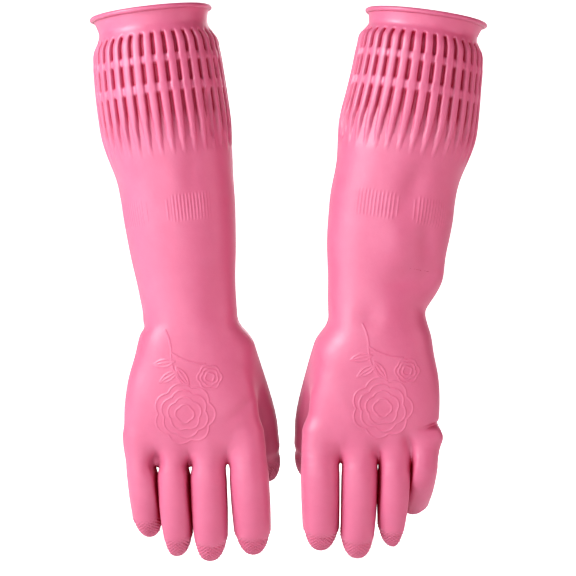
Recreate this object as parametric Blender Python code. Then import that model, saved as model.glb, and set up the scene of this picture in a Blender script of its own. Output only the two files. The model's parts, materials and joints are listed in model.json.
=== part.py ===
"""A pair of long household rubber gloves, held up by their cuffs with the fingers hanging down.

Run with: blender --background --python part.py

+Z is up, +X is to the viewer's right and the palms face +Y. The right-hand glove stands at -X and the
left-hand glove at +X, so both thumbs point at the middle. Each real glove is one thin dipped skin. Here
the skin is cut at its flex lines into hollow segments, so that hinges can stand in for bending rubber.

Every segment is modelled in the frame of the hinge it turns on: X is the hinge axis, -Z runs down the
segment towards the fingertip, and +Y is the side it bends towards. Lengths are in millimetres until a
mesh or an empty is made. x in the tables counts towards the thumb on either glove.
"""

import math

import bmesh
import bpy
from mathutils import Matrix, Vector

MM = 0.001

# Skin
WALL = 0.6
CLEARANCE = 0.3  # from a segment's end to its hinge axis, and between pieces that only meet
GAP_MARGIN = 3.0  # degrees left over when a joint has closed its gap
SLEEVE_SIDES = 32
FINGER_SIDES = 16
PINK = (0.87, 0.21, 0.36)

# Sleeve: height above the wrist, half width, half depth
SLEEVE = (
    (0, 32.3, 24.5),
    (22, 33.4, 26.5),
    (45, 36.2, 29.5),
    (70, 38.4, 32.7),
    (100, 41.0, 36.6),
    (114, 43.0, 39.0),
    (128, 44.6, 41.0),
    (146, 45.2, 41.8),
    (177, 43.4, 40.8),
    (194, 41.0, 39.0),
    (206, 40.2, 38.2),
)
BEND_HEIGHT = 70
CUFF_FROM, CUFF_TO = 112, 206
FLATTEN_FROM, FLATTEN_TO = -20, 160  # heights between which a limp sleeve spreads

# Ribbed elastic cuff: rows of upright ribs with a smooth band between two rows
RIBS = 34
RIB_DEPTH = 1.6
RIB_ROWS = ((114, 156), (161, 177), (181, 195))
RIB_END = 2.5  # height over which a rib fades into a band

# Rolled bead round the opening
BEAD_RADIUS = 2.3
BEAD_SIDES = 8
BEAD_STEPS = 36
BEAD_HEIGHT = CUFF_TO + CLEARANCE + BEAD_RADIUS * math.cos(math.pi / BEAD_SIDES)

# Hand: distance below the wrist, half width, half depth, shift of the middle towards the thumb
HAND = (
    (0, 32.3, 24.5, 0.0),
    (22, 37.0, 23.5, -0.3),
    (45, 43.5, 21.0, 0.5),
    (70, 46.0, 18.5, 1.0),
    (88, 47.5, 16.0, 1.8),
    (97, 48.0, 12.5, 2.8),
)
HAND_SQUARENESS = 2.5  # exponent of the section's superellipse; 2 is an ellipse

# Joint limits in degrees from the rest pose: towards the palm, then towards the back
SLEEVE_RANGE = (15, 15)
WRIST_RANGE = (45, 25)
KNUCKLE_RANGE = (45, 10)
MIDDLE_RANGE = (55, 10)
TIP_SHARE = 0.6  # a fingertip bends by this share of what its middle joint does
TIP_RANGE = tuple(TIP_SHARE * limit for limit in MIDDLE_RANGE)
THUMB_ROOT_RANGE = (40, 5)
THUMB_TIP_RANGE = (50, 5)

# Fingers: root hinge (x, z), lean towards the thumb, segment lengths, radii at the root, the middle
# joint and the tip joint, and the bend of each joint at rest
FINGERS = {
    "index": ((40.7, -108), 3.4, (21, 19, 18.5), (13.1, 12.6, 11.6), (6, 12, 10)),
    "middle": ((12.3, -110), 1.9, (22, 20, 19.0), (12.0, 11.8, 11.0), (6, 12, 10)),
    "ring": ((-11.2, -109), 2.5, (21, 19, 18.5), (11.0, 10.8, 10.2), (7, 12, 10)),
    "little": ((-34.3, -105), 5.0, (17.5, 16, 16.5), (10.9, 10.7, 9.8), (10, 12, 10)),
}
STUB_DEPTH = 26  # how far a finger's root runs up inside the hand before the two are joined
STUB_TAPER = 0.75  # its radius up there, as a share of the finger's

# Thumb: root hinge, the way the stall points, segment lengths and radii
THUMB_HEEL = Vector((22, 4, -16))
THUMB_HEEL_RADIUS = 15
THUMB_ROOT = Vector((44, 33, -66))
THUMB_POINTS = Vector((0.15, 0.42, -0.9))
THUMB_BENDS = Vector((-0.3, 0.95, 0))
THUMB_TWIST = 35  # the tip bends across the palm, turned this far from the root's swing
THUMB_LENGTHS = (25, 28)
THUMB_RADII = (14.0, 12.8)
THUMB_TIP_REST = 5

DOME_START = 0.24  # share of a last segment before its rounded end begins
DOME_RINGS = 3

# The two gloves. side is the way the thumb points. The sleeve and the hand lean by degrees from upright,
# and flatten is how far the limp sleeve has spread. splay turns a finger towards the thumb.
GLOVES = {
    "right": {
        "side": 1,
        "wrist": Vector((-67.3, 0, 168)),
        "sleeve_lean": 7.4,
        "hand_lean": 0.0,
        "flatten": 0.0,
        "splay": {},
        "thumb_splay": 0.0,
        "little_rest": 10,
        "little_range": KNUCKLE_RANGE,
    },
    "left": {
        "side": -1,
        "wrist": Vector((60.1, 0, 170)),
        "sleeve_lean": 9.7,
        "hand_lean": -0.7,
        "flatten": 0.1,
        "splay": {"index": -3.0},
        "thumb_splay": -5.0,
        "little_rest": 35,
        "little_range": (25, 35),
    },
}


def clear_scene():
    for obj in list(bpy.data.objects):
        bpy.data.objects.remove(obj, do_unlink=True)


def rubber():
    material = bpy.data.materials.new("pink_rubber")
    material.use_nodes = True
    shader = material.node_tree.nodes["Principled BSDF"]
    shader.inputs["Base Color"].default_value = (*PINK, 1)
    shader.inputs["Roughness"].default_value = 0.45
    shader.inputs["Metallic"].default_value = 0
    return material


def new_object(name, bm, parent, material):
    """A named object from bm, whose lengths are in millimetres, in its parent empty's frame."""
    bmesh.ops.recalc_face_normals(bm, faces=bm.faces)
    mesh = bpy.data.meshes.new(name)
    bm.to_mesh(mesh)
    bm.free()
    mesh.transform(Matrix.Scale(MM, 4))
    mesh.materials.append(material)
    mesh.shade_smooth()
    mesh.set_sharp_from_angle(angle=math.radians(40))
    obj = bpy.data.objects.new(name, mesh)
    bpy.context.scene.collection.objects.link(obj)
    obj.parent = parent
    return obj


def make_helper(obj):
    obj.hide_render = True
    obj.display_type = "WIRE"


def new_empty(name, parent, matrix):
    """An empty at matrix, in millimetres, in its parent's frame."""
    empty = bpy.data.objects.new(name, None)
    empty.empty_display_size = 10 * MM
    bpy.context.scene.collection.objects.link(empty)
    empty.parent = parent
    placed = matrix.copy()
    placed.translation = matrix.translation * MM
    empty.matrix_basis = placed
    return empty


def frame(origin, points, bends):
    """A hinge frame at origin: -Z along points, and +Y as near to bends as it can be."""
    z = -points.normalized()
    y = (bends - bends.dot(z) * z).normalized()
    rotation = Matrix((y.cross(z), y, z)).transposed()
    return Matrix.Translation(origin) @ rotation.to_4x4()


def between(stations, at):
    """The values of a table's row at this place, between its rows."""
    for low, high in zip(stations, stations[1:]):
        if at <= high[0]:
            share = max(0.0, (at - low[0]) / (high[0] - low[0]))
            return [a + (b - a) * share for a, b in zip(low[1:], high[1:])]
    return list(stations[-1][1:])


def section(half_width, half_depth, sides, squareness=2.0):
    """Points round a superellipse, with points on both axes."""
    points = []
    for i in range(sides):
        angle = 2 * math.pi * i / sides
        c, s = math.cos(angle), math.sin(angle)
        x = math.copysign(abs(c) ** (2 / squareness), c) * half_width
        y = math.copysign(abs(s) ** (2 / squareness), s) * half_depth
        points.append((x, y))
    return points


def gap_angles(limits, rest=0.0):
    """Half of the wedge left open on the palm side and on the back, for a joint bent by rest."""
    flex, extend = limits
    palm = (flex + GAP_MARGIN + rest) / 2
    back = (extend + GAP_MARGIN - rest) / 2
    return math.radians(palm), math.radians(back)


def set_back(y, angles):
    """How far a segment's end stands back from its hinge at depth y."""
    palm, back = angles
    return CLEARANCE + abs(y) * math.tan(palm if y > 0 else back)


def add_ring(bm, points, height):
    """Vertices at these (x, y) points, where height gives z from x and y."""
    return [bm.verts.new((x, y, height(x, y))) for x, y in points]


def bridge(bm, upper, lower):
    count = len(upper)
    for i in range(count):
        j = (i + 1) % count
        bm.faces.new((upper[i], upper[j], lower[j], lower[i]))


def close_with(bm, ring, point):
    pole = bm.verts.new(point)
    for i, vertex in enumerate(ring):
        bm.faces.new((vertex, ring[(i + 1) % len(ring)], pole))


def skin_tube(outer, inner, tips=None):
    """A thin tube from rings of (points, height), top to bottom. tips closes both skins at their poles."""
    bm = bmesh.new()
    skins = []
    for rings in (outer, inner):
        made = [add_ring(bm, points, height) for points, height in rings]
        for upper, lower in zip(made, made[1:]):
            bridge(bm, upper, lower)
        skins.append(made)
    bridge(bm, skins[0][0], skins[1][0])
    if tips:
        for made, tip in zip(skins, tips):
            close_with(bm, made[-1], tip)
    else:
        bridge(bm, skins[0][-1], skins[1][-1])
    return bm


def placed(points, height):
    """The same points in three dimensions."""
    return [Vector((x, y, height(x, y))) for x, y in points]


def solid_between(rings, top, bottom):
    """A closed solid through rings of points, with its ends drawn to the points given.

    It is made of triangles, because a Boolean needs flat faces.
    """
    bm = bmesh.new()
    made = [[bm.verts.new(point) for point in ring] for ring in rings]
    for upper, lower in zip(made, made[1:]):
        bridge(bm, upper, lower)
    close_with(bm, made[0], top)
    close_with(bm, made[-1], bottom)
    bmesh.ops.triangulate(bm, faces=bm.faces)
    return bm


def cut_end(shape, count, ending):
    """The ring where a loft stops on a slant. shape gives the loft's ring of points at a height."""
    points = shape(0)
    for _ in range(3):
        points = [shape(ending(*points[i]))[i] for i in range(count)]
    return points


def level(z):
    return lambda x, y: z


def end_below(z, angles):
    """The height of an end that starts at a hinge at height z and lies below it."""
    return lambda x, y: z - set_back(y, angles)


def end_above(z, angles, slope=0.0):
    """The same for an end above its hinge, whose axis rises by slope along x."""
    return lambda x, y: z + x * slope + set_back(y, angles)


def sleeve_section(height, flatten, inset=0.0):
    half_width, half_depth = between(SLEEVE, height)
    share = (height - FLATTEN_FROM) / (FLATTEN_TO - FLATTEN_FROM)
    spread = flatten * math.sin(math.pi * min(max(share, 0), 1))
    return half_width * (1 + spread) - inset, half_depth * (1 - spread) - inset


def sleeve_segment(name, parent, material, flatten, heights, origin):
    """A plain stretch of sleeve. heights holds (height above the wrist, end function or None)."""
    skins = []
    for inset in (0, WALL):

        def shape(z):
            return section(*sleeve_section(origin + z, flatten, inset), SLEEVE_SIDES)

        rings = []
        for height, ending in heights:
            if ending:
                rings.append((cut_end(shape, SLEEVE_SIDES, ending), ending))
            else:
                rings.append((shape(height - origin), level(height - origin)))
        skins.append(rings)
    return new_object(name, skin_tube(*skins), parent, material)


def rib_rise(height):
    """How far the ribs stand out at this height: 1 within a row, 0 on a smooth band."""
    rise = 0.0
    for low, high in RIB_ROWS:
        inside = min(height - low, high - height) / RIB_END
        rise = max(rise, min(1.0, inside))
    return max(0.0, rise)


def ribbed_cuff(name, parent, material, flatten, origin):
    """The elastic cuff. Every second point of a ring is the groove between two ribs."""
    heights = {CUFF_FROM + CLEARANCE, CUFF_TO}
    for low, high in RIB_ROWS:
        heights.update((low, low + RIB_END, high - RIB_END, high))
    rings = []
    for height in sorted(heights, reverse=True):
        plain = section(*sleeve_section(height, flatten), 2 * RIBS)
        groove = RIB_DEPTH * rib_rise(height) / between(SLEEVE, height)[0]
        points = [
            (x * (1 - groove * (i % 2)), y * (1 - groove * (i % 2)))
            for i, (x, y) in enumerate(plain)
        ]
        rings.append((points, level(height - origin)))
    inner = []
    for height in (CUFF_TO, 146, CUFF_FROM + CLEARANCE):
        inset = WALL + RIB_DEPTH * rib_rise(height)
        points = section(*sleeve_section(height, flatten, inset), 2 * RIBS)
        inner.append((points, level(height - origin)))
    return new_object(name, skin_tube(rings, inner), parent, material)


def rolled_bead(name, parent, material, flatten, origin):
    """The rolled edge of the opening, with a flat on top."""
    half_width, half_depth = sleeve_section(CUFF_TO, flatten)
    bm = bmesh.new()
    rings = []
    for point in section(half_width, half_depth, BEAD_STEPS):
        out = Vector((point[0] / half_width, point[1] / half_depth)).normalized()
        ring = []
        for k in range(BEAD_SIDES):
            angle = 2 * math.pi * (k + 0.5) / BEAD_SIDES
            reach = BEAD_RADIUS * math.cos(angle)
            rise = BEAD_HEIGHT - origin + BEAD_RADIUS * math.sin(angle)
            ring.append(bm.verts.new((point[0] + out.x * reach, point[1] + out.y * reach, rise)))
        rings.append(ring)
    for i, ring in enumerate(rings):
        bridge(bm, ring, rings[(i + 1) % BEAD_STEPS])
    return new_object(name, bm, parent, material)


def finger_segment(name, parent, material, length, radii, start, end):
    """An open segment between two hinges. start and end are the gap angles at its hinges."""
    skins = []
    for inset in (0, WALL):
        top = section(radii[0] - inset, radii[0] - inset, FINGER_SIDES)
        low = section(radii[1] - inset, radii[1] - inset, FINGER_SIDES)
        skins.append(((top, end_below(0, start)), (low, end_above(-length, end))))
    return new_object(name, skin_tube(*skins), parent, material)


def fingertip(name, parent, material, length, radius, start):
    """A last segment, rounded like half an ellipsoid."""
    skins = []
    dome_from = length * DOME_START
    for inset in (0, WALL):
        wide = radius - inset
        rings = [(section(wide, wide, FINGER_SIDES), end_below(0, start))]
        dome = length - inset - dome_from
        lowest = dome_from
        palm_end = set_back(wide, start)
        for k in range(DOME_RINGS):
            angle = math.pi / 2 * (k + 0.5) / DOME_RINGS
            across = wide * math.cos(angle)
            lowest = dome_from + dome * math.sin(angle)
            if lowest > palm_end + 1:
                rings.append((section(across, across, FINGER_SIDES), level(-lowest)))
        skins.append(rings)
    tips = ((0, 0, -length), (0, 0, -length + WALL))
    return new_object(name, skin_tube(*skins, tips), parent, material)


def stub(name, parent, material, heel, radius, angles, inset):
    """A solid finger root from its heel, inside the hand, to its hinge. The inner one runs past the end."""
    heel_at, heel_radius = heel
    wide = heel_radius - inset
    up = heel_at.normalized()
    across = (Vector((1, 0, 0)) - up.x * up).normalized()
    through = up.cross(across)
    rings = [[heel_at + across * x + through * y for x, y in section(wide, wide, FINGER_SIDES)]]
    front = section(radius - inset, radius - inset, FINGER_SIDES)
    if inset:
        rings += [placed(front, level(0)), placed(front, level(-radius))]
        bottom = (0, 0, -radius)
    else:
        rings.append(placed(front, end_above(0, angles)))
        bottom = (0, 0, CLEARANCE)
    obj = new_object(name, solid_between(rings, heel_at, bottom), parent, material)
    make_helper(obj)
    return obj


def palm_solid(name, parent, material, side, inset, angles):
    """The hand without fingers, as a closed solid. The inner one runs past the wrist."""

    def shape(z):
        half_width, half_depth, shift = between(HAND, -z)
        points = section(half_width - inset, half_depth - inset, SLEEVE_SIDES, HAND_SQUARENESS)
        return [(x + side * shift, y) for x, y in points]

    past = 2 * HAND[0][2]
    if inset:
        rings = [placed(shape(0), level(past)), placed(shape(0), level(0))]
    else:
        ending = end_below(0, angles)
        rings = [placed(cut_end(shape, SLEEVE_SIDES, ending), ending)]
    for below, *_ in HAND[1:-1]:
        rings.append(placed(shape(-below), level(-below)))
    rings.append(placed(shape(-HAND[-1][0]), level(-HAND[-1][0] + inset)))
    top = (0, 0, past if inset else -CLEARANCE)
    bottom = (side * HAND[-1][3], 0, -HAND[-1][0] + inset)
    obj = new_object(name, solid_between(rings, top, bottom), parent, material)
    make_helper(obj)
    return obj


def add_boolean(obj, operation, other):
    modifier = obj.modifiers.new(operation.lower(), "BOOLEAN")
    modifier.operation = operation
    modifier.solver = "EXACT"
    modifier.object = other


def thumb_frames(side, splay):
    """The thumb's root hinge in the hand's frame, and its tip hinge and its heel in the root's frame."""
    mirror = Vector((side, 1, 1))
    points = Matrix.Rotation(math.radians(-splay), 3, "Y") @ THUMB_POINTS
    root = frame(THUMB_ROOT * mirror, points * mirror, THUMB_BENDS * mirror)
    down = Matrix.Translation((0, 0, -THUMB_LENGTHS[0]))
    twist = Matrix.Rotation(math.radians(-THUMB_TWIST * side), 4, "Z")
    rest = Matrix.Rotation(math.radians(THUMB_TIP_REST), 4, "X")
    heel = root.inverted() @ (THUMB_HEEL * mirror)
    return root, down @ twist @ rest, heel


def hand_shell(name, parent, material, side, roots):
    """The hand with its four finger roots and the thumb's heel, hollow and open at all six ends."""
    solids = []
    for kind, inset in (("outer", 0), ("inner", WALL)):
        solid = f"{name}_{kind}"
        body = palm_solid(solid, parent, material, side, inset, gap_angles(WRIST_RANGE))
        for finger_name, (matrix, heel, radius, angles) in roots.items():
            empty = new_empty(f"{solid}_{finger_name}_at", parent, matrix)
            root = stub(f"{solid}_{finger_name}", empty, material, heel, radius, angles, inset)
            add_boolean(body, "UNION", root)
        solids.append(body)
    outer, inner = solids
    add_boolean(outer, "DIFFERENCE", inner)
    outer.name = name
    outer.hide_render = False
    outer.display_type = "TEXTURED"
    return outer


def finger(glove, finger_name, hand, material):
    """One finger's three segments, each under its hinge's empty. Returns what the hand needs."""
    pose = GLOVES[glove]
    side = pose["side"]
    (x, z), lean, lengths, radii, rests = FINGERS[finger_name]
    knuckle_range = KNUCKLE_RANGE
    if finger_name == "little":
        rests = (pose["little_rest"], *rests[1:])
        knuckle_range = pose["little_range"]
    lean = math.radians(lean + pose["splay"].get(finger_name, 0))
    points = Vector((side * math.sin(lean), 0, -math.cos(lean)))
    root = frame(Vector((side * x, 0, z)), points, Vector((0, 1, 0)))
    name = f"{glove}_{finger_name}"
    ranges = (knuckle_range, MIDDLE_RANGE, TIP_RANGE)
    gaps = [gap_angles(limits, rest) for limits, rest in zip(ranges, rests)]
    parent, place = hand, root
    for level_name, rest, length in zip(("root", "middle", "tip"), rests, lengths):
        place = place @ Matrix.Rotation(math.radians(rest), 4, "X")
        parent = new_empty(f"{name}_{level_name}_hinge", parent, place)
        if level_name == "root":
            finger_segment(f"{name}_root", parent, material, length, radii[:2], *gaps[:2])
        elif level_name == "middle":
            finger_segment(f"{name}_middle", parent, material, length, radii[1:], *gaps[1:])
        else:
            fingertip(f"{name}_tip", parent, material, length, radii[2], gaps[2])
        place = Matrix.Translation((0, 0, -length))
    heel = (Vector((0, 0, STUB_DEPTH)), STUB_TAPER * radii[0])
    return root, heel, radii[0], gaps[0]


def thumb(glove, hand, material):
    pose = GLOVES[glove]
    root, tip, heel = thumb_frames(pose["side"], pose["thumb_splay"])
    swing = gap_angles(THUMB_ROOT_RANGE)
    bend = gap_angles(THUMB_TIP_RANGE, THUMB_TIP_REST)
    root_empty = new_empty(f"{glove}_thumb_root_hinge", hand, root)
    thumb_root_segment(f"{glove}_thumb_root", root_empty, material, tip, swing, bend)
    tip_empty = new_empty(f"{glove}_thumb_tip_hinge", root_empty, tip)
    fingertip(f"{glove}_thumb_tip", tip_empty, material, THUMB_LENGTHS[1], THUMB_RADII[1], bend)
    return root, (heel, THUMB_HEEL_RADIUS), THUMB_RADII[0], swing


def thumb_root_segment(name, parent, material, tip, swing, bend):
    """Like a finger segment, but its lower gap is turned with the tip's hinge."""
    turn = tip.to_3x3()
    side_axis = Vector((turn.col[0].x, turn.col[0].y)).normalized()
    skins = []
    for inset in (0, WALL):
        top = section(THUMB_RADII[0] - inset, THUMB_RADII[0] - inset, FINGER_SIDES)
        wide = THUMB_RADII[1] - inset
        low = []
        for x, y in section(wide, wide, FINGER_SIDES):
            low.append((x * side_axis.x - y * side_axis.y, x * side_axis.y + y * side_axis.x))
        heights = {p: -x_y(p, side_axis) for p in low}
        lower = [(p, -THUMB_LENGTHS[0] + set_back(-heights[p], bend)) for p in low]
        skins.append((top, lower))
    bm = bmesh.new()
    made = []
    for top, lower in skins:
        upper_ring = add_ring(bm, top, end_below(0, swing))
        start = min(range(FINGER_SIDES), key=lambda i: turn_between(top[0], lower[i][0]))
        lower = lower[start:] + lower[:start]
        lower_ring = [bm.verts.new((*point, z)) for point, z in lower]
        bridge(bm, upper_ring, lower_ring)
        made.append((upper_ring, lower_ring))
    bridge(bm, made[0][0], made[1][0])
    bridge(bm, made[0][1], made[1][1])
    return new_object(name, bm, parent, material)


def x_y(point, side_axis):
    """A point's depth along the turned hinge's bending side."""
    return -point[0] * side_axis.y + point[1] * side_axis.x


def turn_between(a, b):
    return -(a[0] * b[0] + a[1] * b[1])


def glove(name, material, root_parent):
    pose = GLOVES[name]
    side, wrist, flatten = pose["side"], pose["wrist"], pose["flatten"]
    lean = math.radians(pose["sleeve_lean"])
    down = Vector((side * math.sin(lean), 0, -math.cos(lean)))
    palm_side = Vector((0, 1, 0))
    cuff = new_empty(
        f"{name}_cuff_frame", root_parent, frame(wrist - down * BEND_HEIGHT, down, palm_side)
    )
    bend_gap = gap_angles(SLEEVE_RANGE)
    wrist_gap = gap_angles(WRIST_RANGE)
    turn = math.radians(side * (pose["sleeve_lean"] - pose["hand_lean"]))
    rolled_bead(f"{name}_rolled_bead", cuff, material, flatten, BEND_HEIGHT)
    ribbed_cuff(f"{name}_ribbed_cuff", cuff, material, flatten, BEND_HEIGHT)
    upper = (
        (CUFF_FROM, None),
        (100, None),
        (BEND_HEIGHT, end_above(0, bend_gap)),
    )
    sleeve_segment(f"{name}_upper_sleeve", cuff, material, flatten, upper, BEND_HEIGHT)
    forearm = new_empty(f"{name}_sleeve_hinge", cuff, Matrix.Identity(4))
    lower = (
        (BEND_HEIGHT, end_below(0, bend_gap)),
        (45, None),
        (22, None),
        (0, end_above(-BEND_HEIGHT, wrist_gap, -math.tan(turn))),
    )
    sleeve_segment(f"{name}_forearm_sleeve", forearm, material, flatten, lower, BEND_HEIGHT)
    at_wrist = Matrix.Translation((0, 0, -BEND_HEIGHT)) @ Matrix.Rotation(turn, 4, "Y")
    hand = new_empty(f"{name}_wrist_hinge", forearm, at_wrist)
    roots = {finger_name: finger(name, finger_name, hand, material) for finger_name in FINGERS}
    roots["thumb"] = thumb(name, hand, material)
    hand_shell(f"{name}_hand_shell", hand, material, side, roots)


def stand_on_origin(pair):
    """Moves the pair so that the middle of its bounding box's underside is the origin."""
    bpy.context.view_layer.update()
    graph = bpy.context.evaluated_depsgraph_get()
    corners = []
    for obj in bpy.data.objects:
        if obj.type != "MESH" or obj.hide_render:
            continue
        evaluated = obj.evaluated_get(graph)
        mesh = evaluated.to_mesh()
        corners += [evaluated.matrix_world @ vertex.co for vertex in mesh.vertices]
        evaluated.to_mesh_clear()
    low, high = (Vector([pick(c[k] for c in corners) for k in range(3)]) for pick in (min, max))
    middle = (low + high) / 2
    pair.location = -Vector((middle.x, middle.y, low.z))


def main():
    clear_scene()
    material = rubber()
    pair = new_empty("pair", None, Matrix.Identity(4))
    for name in GLOVES:
        glove(name, material, pair)
    stand_on_origin(pair)


main()
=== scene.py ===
"""The looks of a pair of long household rubber gloves, built as a skin around the CAD frame.

Each glove's hand is a smooth field of rounded shapes strung on the frame's joints, meshed on a grid. The
sleeve and the ribbed cuff are turned round the sleeve's axis. The skin is then cut into pieces, one for each
body it lies over; those of the palm, the cuff and the rim are attached to their bodies. Lengths are in
millimetres until a mesh is made.
"""

import json
import math

import bmesh
import bpy
import numpy as np
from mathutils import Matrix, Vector


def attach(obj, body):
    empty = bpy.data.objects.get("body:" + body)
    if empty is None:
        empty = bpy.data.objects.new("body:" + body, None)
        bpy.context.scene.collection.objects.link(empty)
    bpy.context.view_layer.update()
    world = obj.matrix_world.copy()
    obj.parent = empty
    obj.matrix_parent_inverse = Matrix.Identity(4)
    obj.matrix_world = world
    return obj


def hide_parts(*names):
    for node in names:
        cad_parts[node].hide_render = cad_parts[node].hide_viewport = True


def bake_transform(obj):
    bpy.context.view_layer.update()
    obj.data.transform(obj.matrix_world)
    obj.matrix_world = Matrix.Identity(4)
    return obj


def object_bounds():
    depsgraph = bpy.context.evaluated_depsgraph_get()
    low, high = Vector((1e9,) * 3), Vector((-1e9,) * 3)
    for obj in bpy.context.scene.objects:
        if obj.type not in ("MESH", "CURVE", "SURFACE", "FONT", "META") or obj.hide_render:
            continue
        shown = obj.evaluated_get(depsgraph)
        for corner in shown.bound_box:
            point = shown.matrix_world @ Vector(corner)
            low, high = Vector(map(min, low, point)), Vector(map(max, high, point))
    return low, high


MM = 0.001
GRID = 1.1
SKIN = 0.9  # thickness of the visible skin

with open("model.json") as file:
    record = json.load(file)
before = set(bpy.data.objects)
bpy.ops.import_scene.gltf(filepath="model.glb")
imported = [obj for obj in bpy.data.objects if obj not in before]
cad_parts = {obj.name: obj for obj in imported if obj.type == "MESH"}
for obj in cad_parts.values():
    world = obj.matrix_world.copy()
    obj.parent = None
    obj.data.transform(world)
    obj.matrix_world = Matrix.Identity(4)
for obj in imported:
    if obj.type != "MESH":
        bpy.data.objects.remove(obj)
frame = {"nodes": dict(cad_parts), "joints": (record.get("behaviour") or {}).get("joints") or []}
cad_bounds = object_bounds()
JOINTS = {joint["name"]: joint for joint in frame["joints"]}
FINGERS = ("index", "middle", "ring", "little")

# Sleeve: height above the wrist, half width, half depth
SLEEVE = (
    (-30, 32.3, 24.5),
    (0, 32.3, 24.5),
    (22, 33.4, 26.5),
    (45, 36.2, 29.5),
    (70, 38.4, 32.7),
    (100, 40.3, 36.6),
    (114, 42.7, 39.0),
    (128, 44.8, 41.0),
    (146, 45.2, 41.8),
    (165, 44.8, 41.3),
    (180, 43.9, 40.6),
    (189, 42.3, 39.6),
    (193, 39.6, 38.0),
    (197, 37.7, 36.2),
    (202, 38.3, 36.7),
    (207, 40.2, 38.4),
)
# How far the sleeve's middle lies towards the other glove: height, right glove, left glove
SWAY = (
    (-30, 0.0, 0.0),
    (0, 0.2, 0.2),
    (30, 0.9, 1.0),
    (65, 1.8, 1.5),
    (85, 2.3, 2.2),
    (100, 2.2, 1.7),
    (118, 0.8, 0.6),
    (145, 0.1, -0.2),
    (180, 0.2, 0.4),
    (197, 0.5, 1.2),
    (207, 0.0, 0.4),
)
# How far the rim stands above its even height at the sleeve's middle, and per mm across
RIM_LIFT = {"right": (2.6, -0.012), "left": (-1.0, 0.034)}
RIM_BAND = (186, 206)  # heights between which the lift sets in
RIM_HEIGHT = 207.3
RIM_RADIUS = 1.9
RIM_FLATNESS = 0.92
# Hand: distance below the wrist, half width, half depth, shift towards the thumb, squareness
HAND = (
    (-30, 32.3, 24.5, 0.0, 2.0),
    (0, 32.3, 24.5, 0.0, 2.1),
    (22, 37.0, 23.5, -0.3, 2.3),
    (45, 43.5, 21.0, 0.5, 2.4),
    (70, 46.3, 18.0, 1.0, 2.4),
    (84, 46.2, 13.8, 1.7, 2.4),
    (93, 46.0, 10.6, 2.2, 2.4),
    (110, 45.0, 8.5, 2.4, 2.4),
)
PALM_LENGTH = 98
PALM_END = 16  # how softly the palm ends, inside the roots of the fingers
HAND_ROOM = (56, 34)  # half of the grid's width and depth at the wrist
# Radius of each finger at its root, middle joint, tip joint and tip
RADII = {
    "index": (13.6, 13.5, 12.8, 11.6),
    "middle": (12.9, 12.9, 12.5, 11.6),
    "ring": (12.1, 12.0, 11.6, 10.7),
    "little": (11.2, 11.0, 10.4, 9.6),
}
THUMB_RADII = (14.0, 13.2, 11.4)
THUMB_HEEL = (24.5, 4, -21)
THUMB_HEEL_RADIUS = 17.2
DOME = 1.9  # length of a rounded fingertip over its radius
MESH_GAP = 1.5 * GRID  # between fingers while the grid is meshed, so that they stay apart
FINGER_GAP = 0.7
WALL_ROUND = 1.0  # how softly a finger flattens where it faces the next one
WEB = 7.0  # how softly fingers grow out of the hand
THENAR = 9.0  # how softly the thumb does
DIGIT_MARGIN = 4.0  # how far a digit's pieces reach from its balls
ROOT_LEAD = 9.0  # where its first piece begins, above the root joint
SLEEVE_CUT = 35  # height of the seam between the turned sleeve and the hand's mesh
CUFF_CUT = 112  # height of the seam between the sleeve and the cuff
CUFF_TOP = 206
WRIST_CUT = 32  # distance below the wrist of the seam between its piece and the palm's
WRIST_SHARE = 16  # the sleeve turns into the palm this far above and below the wrist
# How much wider and flatter the left sleeve is than the right one: height, share
SPREAD = (
    (-30, 0.0),
    (0, 0.045),
    (20, 0.09),
    (45, 0.125),
    (70, 0.115),
    (100, 0.065),
    (125, 0.06),
    (160, 0.01),
    (207, 0.0),
)
# How far the skin's digits bend away from the CAD's straight ones, at each of their stations
POSTURE = {
    "right": {
        "thumb": ((3.2, 0, -2), (-0.2, 0, 0), (0.3, 0, -1.5), (1, 0, -3.5)),
        "index": ((0, 0, 0), (-0.3, 0, 0), (-0.3, 0, 0), (-0.4, 0, 0), (-0.6, 0, 0)),
        "middle": ((0, 0, 0), (0, 0, 0), (0, 0, 0), (-0.4, 0, 0), (-1, 0, 0)),
        "ring": ((0, 0, 0), (0, 0, 0), (0, 0, 0), (-0.5, 0, 0), (-1, 0, -0.4)),
        "little": ((0.6, 0, 0), (1.6, 0, 0), (1.7, 0, 0), (1.9, 0, 0), (2.5, 0, 0)),
    },
    "left": {
        "thumb": ((-2.2, 0, -3), (3, 0, 0), (1.8, 0, -1), (0.5, 0, -2)),
        "index": ((0, 0, 0), (1.1, 0, 0), (1.5, 0, 0), (1.6, 0, 0), (0.8, 0, 1.8)),
        "middle": ((0, 0, 0), (-0.3, 0, 0), (-0.5, 0, 0), (-0.6, 0, 0), (-0.2, 0, 0)),
        "ring": ((0, 0, 0), (0.3, 0, 0), (0.8, 0, 0), (1.5, 0, 1.8), (1.8, 0, 4.6)),
        "little": ((-3, 0, 0), (-4.4, 0, 0), (-5.2, 0, 0.6), (-6.4, 0, 1.6), (-8, 0, 3.6)),
    },
}
# How much narrower the hand is on the little finger's side, at the knuckles
SLIM = {"right": 0.0, "left": 0.035}
SLIM_BAND = (30, 80)  # distances below the wrist between which it sets in
WALL_SLANT = 0.36  # the fingers next to the index finger overlap a little in front of the next

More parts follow.
